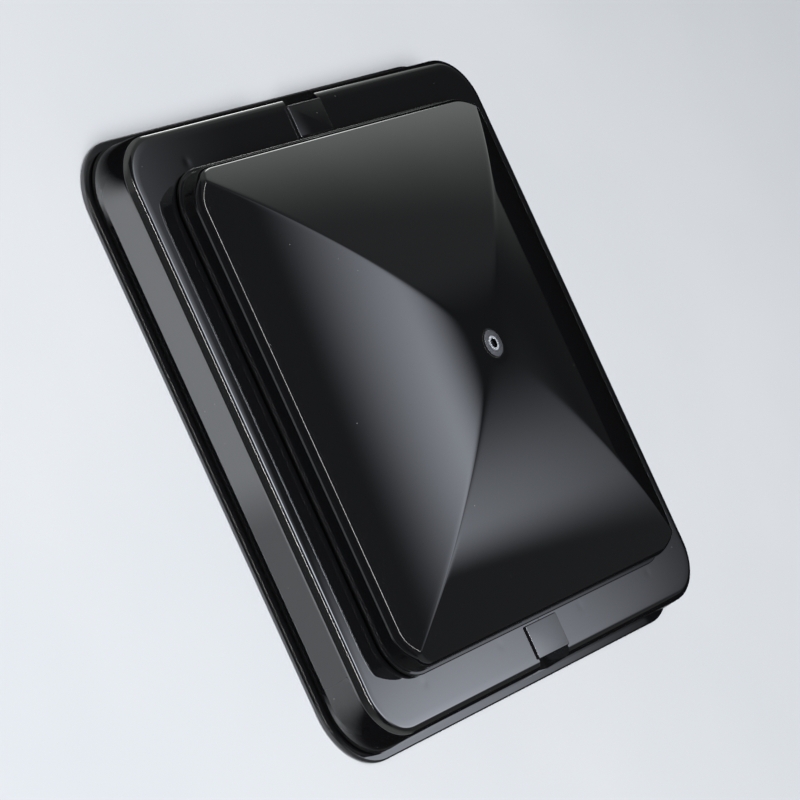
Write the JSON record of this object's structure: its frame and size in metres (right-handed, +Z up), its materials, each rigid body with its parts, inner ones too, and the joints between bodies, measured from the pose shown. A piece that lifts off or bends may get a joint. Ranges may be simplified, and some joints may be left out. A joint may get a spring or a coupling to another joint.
{
  "type": "roof vent cover",
  "caption": "Square roof vent cover: a ring surround on a flange and a lift-up cap with four curved facets, raised from inside by a hand knob.",
  "frame": {"origin": "centre of the flat underside that rests on the roof", "axes": "+Z up out of the roof, the two surround joints on the -Y and +Y sides, the halves on -X and +X"},
  "size_m": [0.458, 0.458, 0.0997],
  "materials": {
    "gloss_black_abs": "high gloss, moulded",
    "satin_black_abs": "satin, moulded",
    "black_epdm": "matt",
    "zinc_steel": "zinc plated",
    "stainless": "bright",
    "acetal_white": "satin",
    "brass": "turned",
    "glass_fibre_mesh": "coated woven mesh"
  },
  "bodies": {
    "base": {"base_frame": "gloss_black_abs", "roof_gasket": "black_epdm", "surround_left": "gloss_black_abs", "surround_right": "gloss_black_abs", "joint_clip_front": "gloss_black_abs", "joint_clip_rear": "gloss_black_abs", "clip_screws": "zinc_steel", "coaming_seal": "black_epdm", "screen_frame": "satin_black_abs", "insect_screen": "glass_fibre_mesh", "screen_screws": "zinc_steel", "cross_bar": "satin_black_abs", "bar_screws": "zinc_steel", "guide_bushes": "acetal_white"},
    "cap": {"cap_shell": "gloss_black_abs", "spreader_plate": "zinc_steel", "plate_screws": "zinc_steel", "lift_spindle": "zinc_steel", "guide_pins": "stainless", "centre_screw": "stainless", "centre_washer": "stainless", "sealing_washer": "black_epdm"},
    "knob": {"hand_knob": "satin_black_abs", "lift_nut": "brass", "thrust_washer": "acetal_white", "retaining_ring": "stainless"}
  },
  "joints": [
    {"name": "cap_lift", "type": "slide", "parent": "base", "child": "cap", "axis": [0, 0, 1], "range_m": [0, 0.03]},
    {"name": "knob_turn", "type": "hinge", "parent": "base", "child": "knob", "pos_m": [0, 0, 0.02], "axis": [0, 0, 1], "range_deg": [0, 1080]}
  ],
  "couplings": [
    {"joint": "knob_turn", "follows": "cap_lift", "rad_per_m": 628.32}
  ]
}
